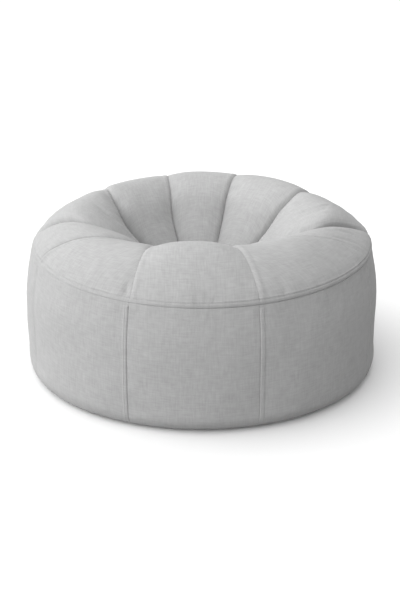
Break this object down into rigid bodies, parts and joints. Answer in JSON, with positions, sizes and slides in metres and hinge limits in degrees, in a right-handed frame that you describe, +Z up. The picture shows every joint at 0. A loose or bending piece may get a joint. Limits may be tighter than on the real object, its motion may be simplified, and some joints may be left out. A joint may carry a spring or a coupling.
{
  "type": "pouf",
  "caption": "Round filled floor pouf of light grey woven cloth, with a fat gored rim round a deep seat hollow and a panelled wall.",
  "frame": {"origin": "middle of the flat underside, on the floor", "axes": "+Z up, -Y to the front as pictured, +X to the right"},
  "size_m": [1.0003, 0.9978, 0.4631],
  "materials": {
    "cloth": "matt plain-woven linen look, light grey with finer lighter and darker threads"
  },
  "bodies": {
    "root": {"top_gore_1": "cloth", "top_gore_2": "cloth", "top_gore_3": "cloth", "top_gore_4": "cloth", "top_gore_5": "cloth", "top_gore_6": "cloth", "top_gore_7": "cloth", "top_gore_8": "cloth", "top_gore_9": "cloth", "top_gore_10": "cloth", "side_panel_1": "cloth", "side_panel_2": "cloth", "side_panel_3": "cloth", "side_panel_4": "cloth", "side_panel_5": "cloth", "side_panel_6": "cloth", "side_panel_7": "cloth", "side_panel_8": "cloth", "side_panel_9": "cloth", "side_panel_10": "cloth", "base_panel": "cloth"}
  },
  "joints": []
}
